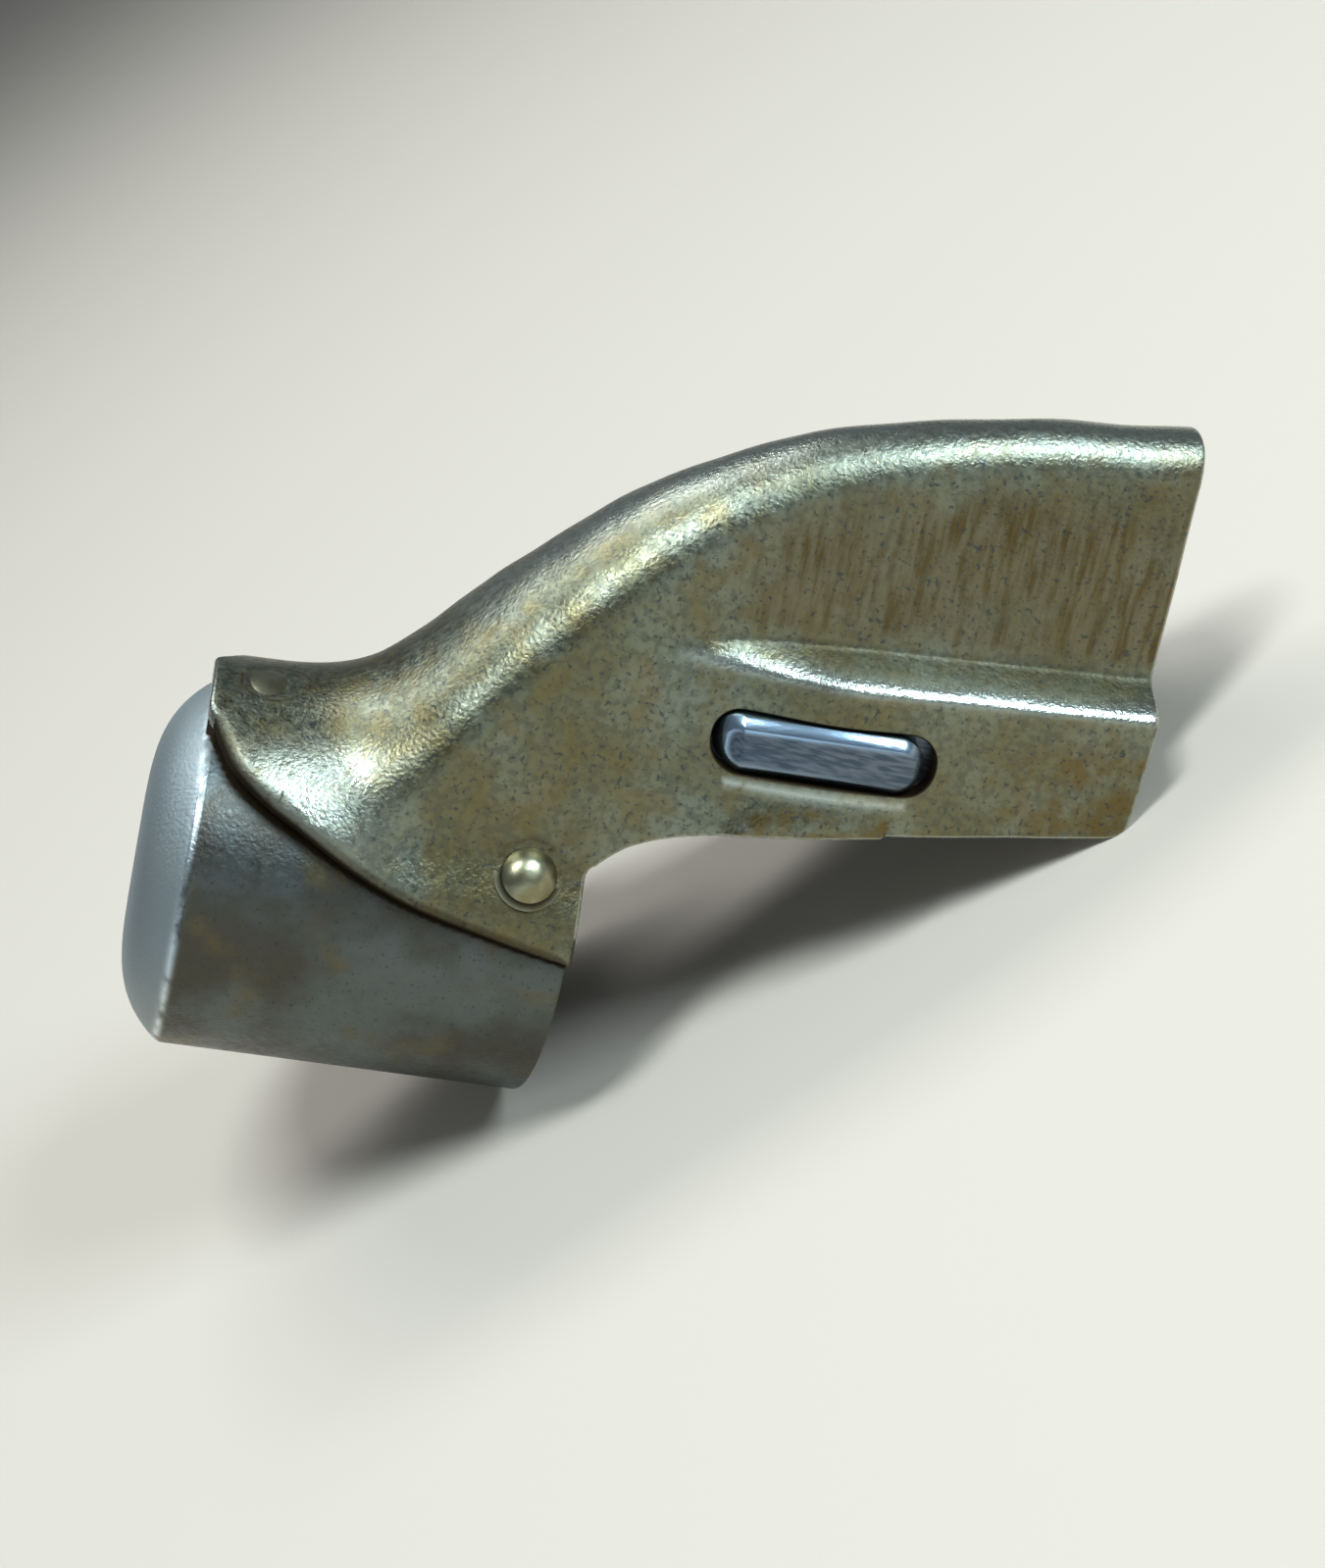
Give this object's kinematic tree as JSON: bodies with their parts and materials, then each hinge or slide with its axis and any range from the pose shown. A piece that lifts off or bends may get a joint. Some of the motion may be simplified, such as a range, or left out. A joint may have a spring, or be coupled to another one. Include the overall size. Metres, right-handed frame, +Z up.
{
  "type": "muzzle and sight cover",
  "caption": "Spring-clip cover for the muzzle and front sight of a service rifle: a closed brass cup with a folded brass hood riveted to it and spring catches in the hood's sides.",
  "frame": {"origin": "middle of the box on the surface that the cover rests on", "axes": "+Z up as it rests on the cup's mouth and the hood's two rear corners, +X from the closed end of the cup towards the rear of the hood, Y = 0 the plane of symmetry"},
  "size_m": [0.0556, 0.018, 0.025],
  "materials": {
    "cup_brass": "aged brass, grey-brown tarnish",
    "hood_brass": "aged brass, olive-brown tarnish, brighter worn edges",
    "rivet_brass": "aged brass, rubbed bright on the domes",
    "spring_steel": "dark blued spring steel",
    "catch_steel": "blue-grey steel, brushed lengthwise, polished bevels"
  },
  "bodies": {
    "root": {"cup": "cup_brass", "hood": "hood_brass", "top_rivet": "rivet_brass", "left_rivet": "rivet_brass", "right_rivet": "rivet_brass", "spring_bend": "spring_steel"},
    "left_spring": {"spring_leg_left": "spring_steel", "catch_left": "catch_steel"},
    "right_spring": {"spring_leg_right": "spring_steel", "catch_right": "catch_steel"}
  },
  "joints": [
    {"name": "left_leg_flex", "type": "hinge", "parent": "root", "child": "left_spring", "pos_m": [0.00049, -0.00335, 0.01497], "axis": [0.6115, 0, 0.7913], "range_deg": [0, 5], "stiffness_Nm_per_rad": 0.6},
    {"name": "right_leg_flex", "type": "hinge", "parent": "root", "child": "right_spring", "pos_m": [0.00049, 0.00335, 0.01497], "axis": [-0.6115, 0, -0.7913], "range_deg": [0, 5], "stiffness_Nm_per_rad": 0.6}
  ]
}
